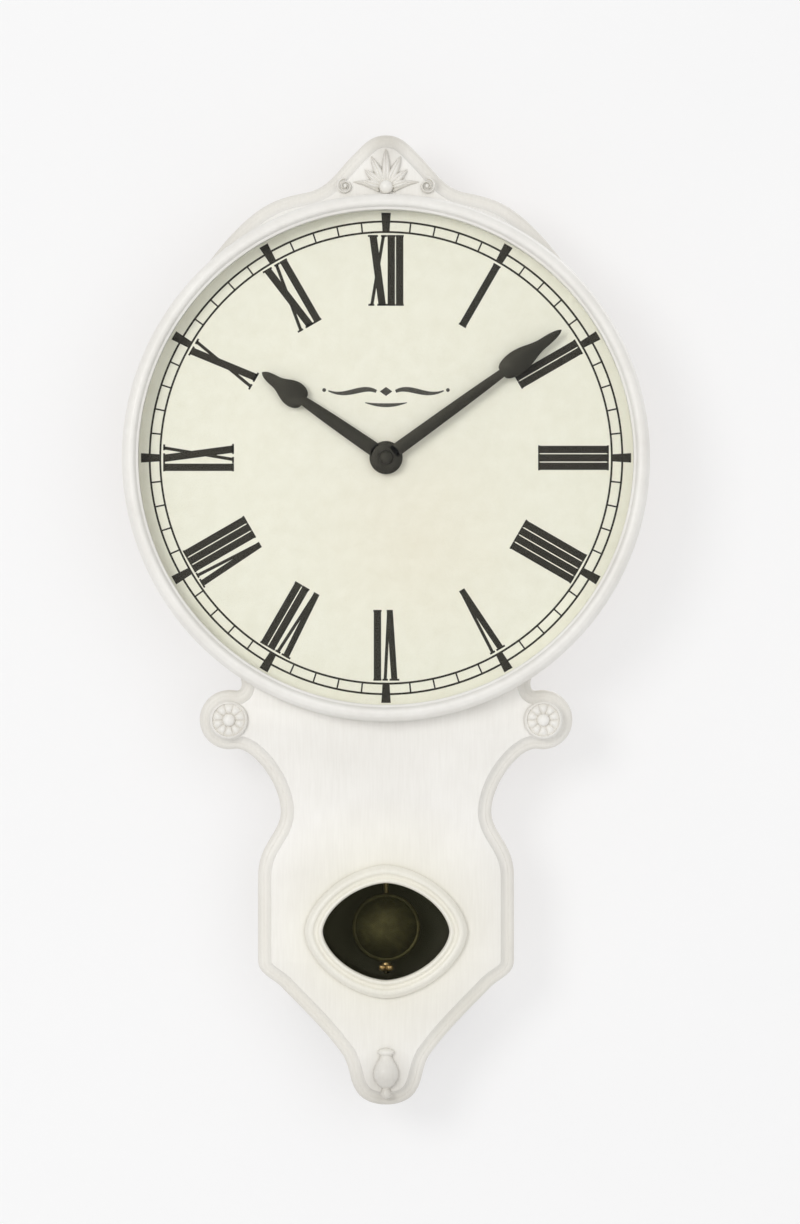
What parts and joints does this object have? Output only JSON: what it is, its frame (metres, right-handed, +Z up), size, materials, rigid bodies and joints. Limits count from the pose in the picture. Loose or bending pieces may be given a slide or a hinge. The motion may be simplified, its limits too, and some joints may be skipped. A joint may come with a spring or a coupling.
{
  "type": "pendulum wall clock",
  "caption": "Drop-dial pendulum wall clock in white-lacquered wood: round dial with Roman numerals, shaped crest, side ears and an oval window onto the bob.",
  "frame": {"origin": "seat of the wall screw in the hanger plate's keyhole, on the wall's plane", "axes": "+Z up, -Y out of the wall towards the viewer (the dial faces -Y), +X to the viewer's right"},
  "size_m": [0.302, 0.0806, 0.5565],
  "materials": {
    "white_lacquer": "satin white lacquer on MDF",
    "white_metal": "satin white enamel",
    "cream_dial": "printed matt enamel",
    "black_metal": "satin black",
    "black_card": "matt black",
    "hardboard": "raw hardboard",
    "black_plastic": "fine moulded texture",
    "nylon": "moulded",
    "brass": "lacquered, lightly aged",
    "steel": "zinc plated",
    "copper_coil": "enamelled copper winding",
    "iron": "sintered",
    "rubber": "matt",
    "laminate": "solder-masked laminate",
    "glass": "clear float glass"
  },
  "bodies": {
    "case": {"front_board": "white_lacquer", "crest_carving": "white_lacquer", "pendant_drop": "white_lacquer", "window_frame": "white_lacquer", "ear_rosette_left": "white_lacquer", "ear_rosette_right": "white_lacquer", "box_side_left": "white_lacquer", "box_side_right": "white_lacquer", "box_shoulder_left": "white_lacquer", "box_shoulder_right": "white_lacquer", "trunk_side_left": "white_lacquer", "trunk_side_right": "white_lacquer", "box_top_rail": "white_lacquer", "trunk_bottom": "white_lacquer", "bezel_ring": "white_metal", "dial_spacer": "white_metal", "dial_plate": "cream_dial", "trunk_lining": "black_card", "window_retainer": "black_card", "back_board": "hardboard", "movement_front_shell": "black_plastic", "movement_rear_shell": "black_plastic", "centre_bush": "brass", "dial_washer": "brass", "hex_nut": "brass", "hanger_plate": "steel", "hanger_screw_1": "steel", "hanger_screw_2": "steel", "back_screw_1": "steel", "back_screw_2": "steel", "back_screw_3": "steel", "back_screw_4": "steel", "quartz_crystal": "steel", "battery_contact_plus": "steel", "battery_contact_minus": "steel", "pendulum_pivot_pin": "steel", "motor_coil": "copper_coil", "pendulum_coil": "copper_coil", "motor_stator": "iron", "wall_pad_left": "rubber", "wall_pad_right": "rubber", "circuit_board": "laminate", "dial_glass": "glass", "window_glass": "glass"},
    "minute_train": {"centre_wheel": "nylon", "minute_hand": "black_metal", "hand_nut": "black_metal"},
    "hour_train": {"hour_wheel": "nylon", "hour_hand": "black_metal"},
    "third_wheel": {"third_wheel": "nylon"},
    "rotor": {"motor_rotor": "iron"},
    "motion_wheel": {"motion_wheel": "nylon"},
    "setting_knob": {"setting_knob": "black_plastic"},
    "pendulum": {"swing_arm": "black_plastic", "arm_magnet": "iron", "pendulum_rod": "brass"},
    "bob": {"bob_shell": "brass", "bob_back": "brass"},
    "rating_nut": {"rating_nut": "brass"},
    "battery": {"battery": "black_plastic"}
  },
  "joints": [
    {"name": "minute_hand_turn", "type": "hinge", "parent": "case", "child": "minute_train", "pos_m": [0, -0.04, -0.107], "axis": [0, 1, 0], "continuous": true},
    {"name": "hour_hand_turn", "type": "hinge", "parent": "case", "child": "hour_train", "pos_m": [0, -0.04, -0.107], "axis": [0, 1, 0], "continuous": true},
    {"name": "third_wheel_turn", "type": "hinge", "parent": "case", "child": "third_wheel", "pos_m": [-0.00978, -0.04, -0.09723], "axis": [0, 1, 0], "continuous": true},
    {"name": "rotor_turn", "type": "hinge", "parent": "case", "child": "rotor", "pos_m": [-0.01992, -0.04, -0.10092], "axis": [0, 1, 0], "continuous": true},
    {"name": "motion_wheel_turn", "type": "hinge", "parent": "case", "child": "motion_wheel", "pos_m": [0.01015, -0.04, -0.11069], "axis": [0, 1, 0], "continuous": true},
    {"name": "setting_knob_turn", "type": "hinge", "parent": "case", "child": "setting_knob", "pos_m": [0.01555, -0.04, -0.12005], "axis": [0, 1, 0], "continuous": true},
    {"name": "pendulum_swing", "type": "hinge", "parent": "case", "child": "pendulum", "pos_m": [0, -0.0259, -0.095], "axis": [0, 1, 0], "range_deg": [-4.5, 4.5]},
    {"name": "rating_nut_turn", "type": "hinge", "parent": "bob", "child": "rating_nut", "pos_m": [0, -0.0225, -0.401], "axis": [0, 0, 1], "range_deg": [-540, 1080]},
    {"name": "bob_height", "type": "slide", "parent": "pendulum", "child": "bob", "axis": [0, 0, 1], "range_m": [-0.0015, 0.003]},
    {"name": "battery_removal", "type": "slide", "parent": "case", "child": "battery", "axis": [0, 1, 0], "range_m": [0, 0.02]}
  ],
  "couplings": [
    {"joint": "hour_hand_turn", "follows": "minute_hand_turn", "ratio": 0.083333},
    {"joint": "third_wheel_turn", "follows": "minute_hand_turn", "ratio": -5},
    {"joint": "rotor_turn", "follows": "minute_hand_turn", "ratio": 25},
    {"joint": "motion_wheel_turn", "follows": "minute_hand_turn", "ratio": -0.33333},
    {"joint": "setting_knob_turn", "follows": "minute_hand_turn", "ratio": 1},
    {"joint": "rating_nut_turn", "follows": "bob_height", "rad_per_m": 6283.2}
  ]
}
